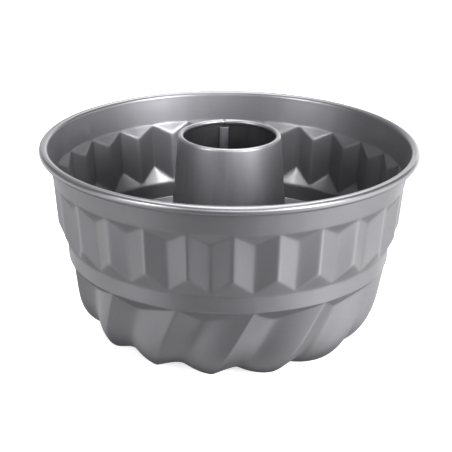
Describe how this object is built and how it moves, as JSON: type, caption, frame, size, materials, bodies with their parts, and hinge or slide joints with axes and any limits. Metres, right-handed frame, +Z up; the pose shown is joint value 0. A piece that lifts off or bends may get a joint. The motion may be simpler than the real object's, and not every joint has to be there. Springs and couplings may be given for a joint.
{
  "type": "gugelhupf pan",
  "caption": "Round cake pan of coated sheet steel with a rolled wired rim, a faceted wall above swirling lobes and an open centre tube, for baking ring cakes.",
  "frame": {"origin": "centre of the base, on the pan's axis, in the plane that its lobes stand on", "axes": "+Z up along the axis of the pan and its tube, -Y towards the viewer of the picture, +X to that viewer's right"},
  "size_m": [0.2198, 0.2198, 0.1207],
  "materials": {
    "body_coating": "satin",
    "tube_coating": "satin",
    "wire_steel": "satin"
  },
  "bodies": {
    "root": {"pan_body": "body_coating", "centre_tube": "tube_coating", "rim_wire": "wire_steel"}
  },
  "joints": []
}
